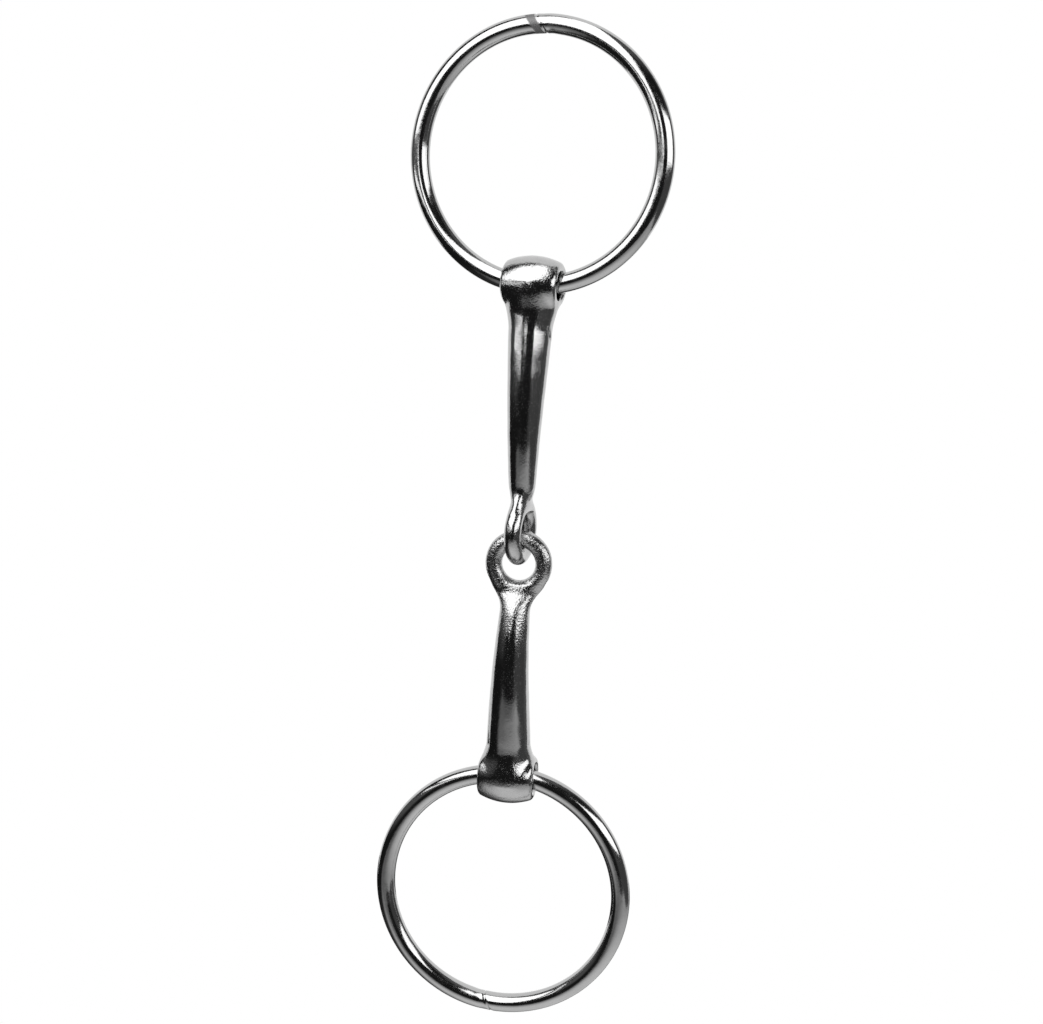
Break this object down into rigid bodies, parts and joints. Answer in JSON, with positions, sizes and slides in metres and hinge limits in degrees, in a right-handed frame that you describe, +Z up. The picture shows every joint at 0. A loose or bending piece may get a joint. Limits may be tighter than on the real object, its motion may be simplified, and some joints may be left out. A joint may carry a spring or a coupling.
{
  "type": "snaffle bit",
  "caption": "Loose-ring snaffle bit: two wire rings running in the cross barrels of a single-jointed, tapered metal mouthpiece with linked eyes, hanging from its upper ring.",
  "frame": {"origin": "inner top of the upper ring, where the bit hangs on a hook", "axes": "+Z up along the hanging chain, +X along the hole of the upper cross barrel and in the upper ring's plane, +Y through the upper ring"},
  "size_m": [0.07, 0.0178, 0.2656],
  "materials": {
    "ring_metal": "polished drawn wire, fine rub marks along the wire",
    "cast_metal": "polished casting with a fine uneven cast texture"
  },
  "bodies": {
    "top_ring": {"upper_ring": "ring_metal"},
    "upper_arm": {"upper_mouthpiece_arm": "cast_metal"},
    "lower_arm": {"lower_mouthpiece_arm": "cast_metal"},
    "bottom_ring": {"lower_ring": "ring_metal"}
  },
  "joints": [
    {"name": "upper_ring_swing", "type": "hinge", "parent": "top_ring", "child": "upper_arm", "pos_m": [0, 0, -0.0624], "axis": [1, 0, 0], "range_deg": [-120, 120]},
    {"name": "mouthpiece_fold", "type": "hinge", "parent": "upper_arm", "child": "lower_arm", "pos_m": [0, 0, -0.1334], "axis": [0, 1, 0], "range_deg": [-130, 130]},
    {"name": "lower_ring_swing", "type": "hinge", "parent": "lower_arm", "child": "bottom_ring", "pos_m": [0, 0, -0.1933], "axis": [0.9928, 0.1201, 0], "range_deg": [-120, 120]}
  ]
}
